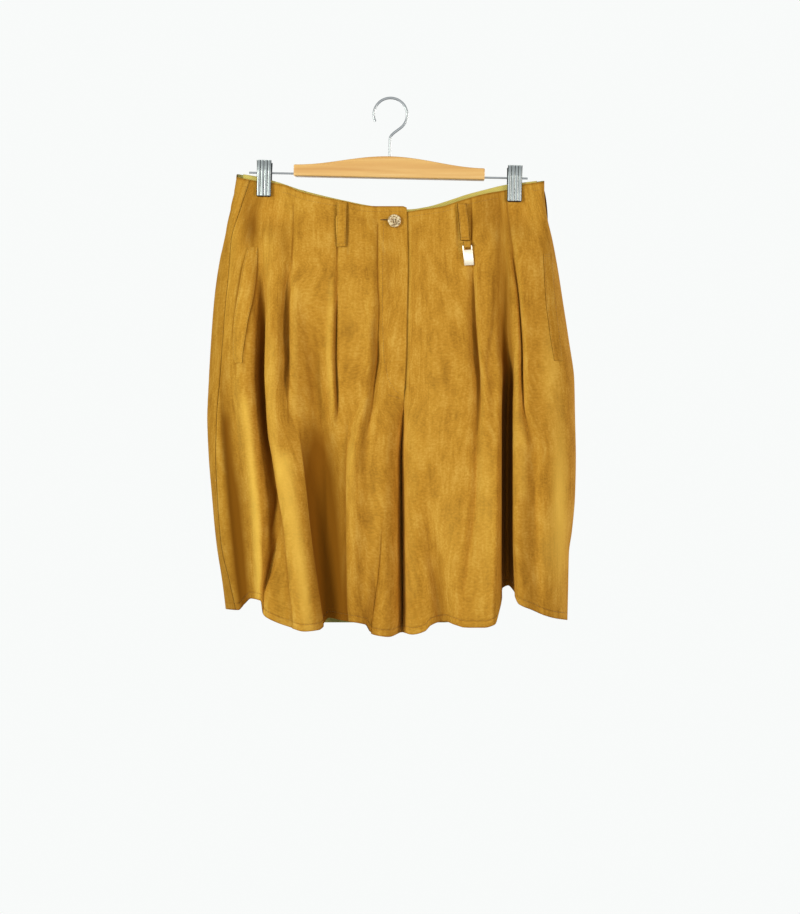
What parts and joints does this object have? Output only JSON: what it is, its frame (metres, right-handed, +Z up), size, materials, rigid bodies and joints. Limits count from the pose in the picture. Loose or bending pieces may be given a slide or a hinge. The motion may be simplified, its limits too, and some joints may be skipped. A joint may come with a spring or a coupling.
{
  "type": "pleated suede shorts on a clip hanger",
  "caption": "Wide pleated suede shorts with a buttoned fly, slanted pockets and belt loops, hung by the waist from a wooden hanger with steel clips.",
  "frame": {"origin": "inside top of the hanger's hook, where a rail holds it", "axes": "+Z up, the front of the shorts faces -Y, +X towards the wearer's left"},
  "size_m": [0.4786, 0.1401, 0.6938],
  "materials": {
    "suede": "golden suede, dull nap",
    "facing": "pale facing tape",
    "button": "mottled horn, satin",
    "tag": "polished",
    "wood": "light satin varnish",
    "wire": "bright",
    "clip": "bright, fluted",
    "rubber": "black, dull"
  },
  "bodies": {
    "shorts": {"front_right": "suede", "front_left": "suede", "back_left": "suede", "back_right": "suede", "pocket_welt_right": "suede", "pocket_welt_left": "suede", "belt_loop_right": "suede", "belt_loop_left": "suede", "belt_loop_back_right": "suede", "belt_loop_back_left": "suede", "tag_loop": "suede", "waist_facing": "facing", "button": "button", "hanger_bar": "wood", "hanger_hook": "wire", "hanger_rod_right": "wire", "hanger_rod_left": "wire", "clip_right_front": "clip", "clip_right_front_pad": "rubber", "clip_right_back": "clip", "clip_right_back_pad": "rubber", "clip_right_sleeve": "clip", "clip_left_front": "clip", "clip_left_front_pad": "rubber", "clip_left_back": "clip", "clip_left_back_pad": "rubber", "clip_left_sleeve": "clip"},
    "tag": {"tag": "tag"}
  },
  "joints": [
    {"name": "tag_swing", "type": "hinge", "parent": "shorts", "child": "tag", "pos_m": [0.09782, -0.03377, -0.19551], "axis": [-0.9799, -0.1855, -0.0741], "range_deg": [0, 110]}
  ]
}
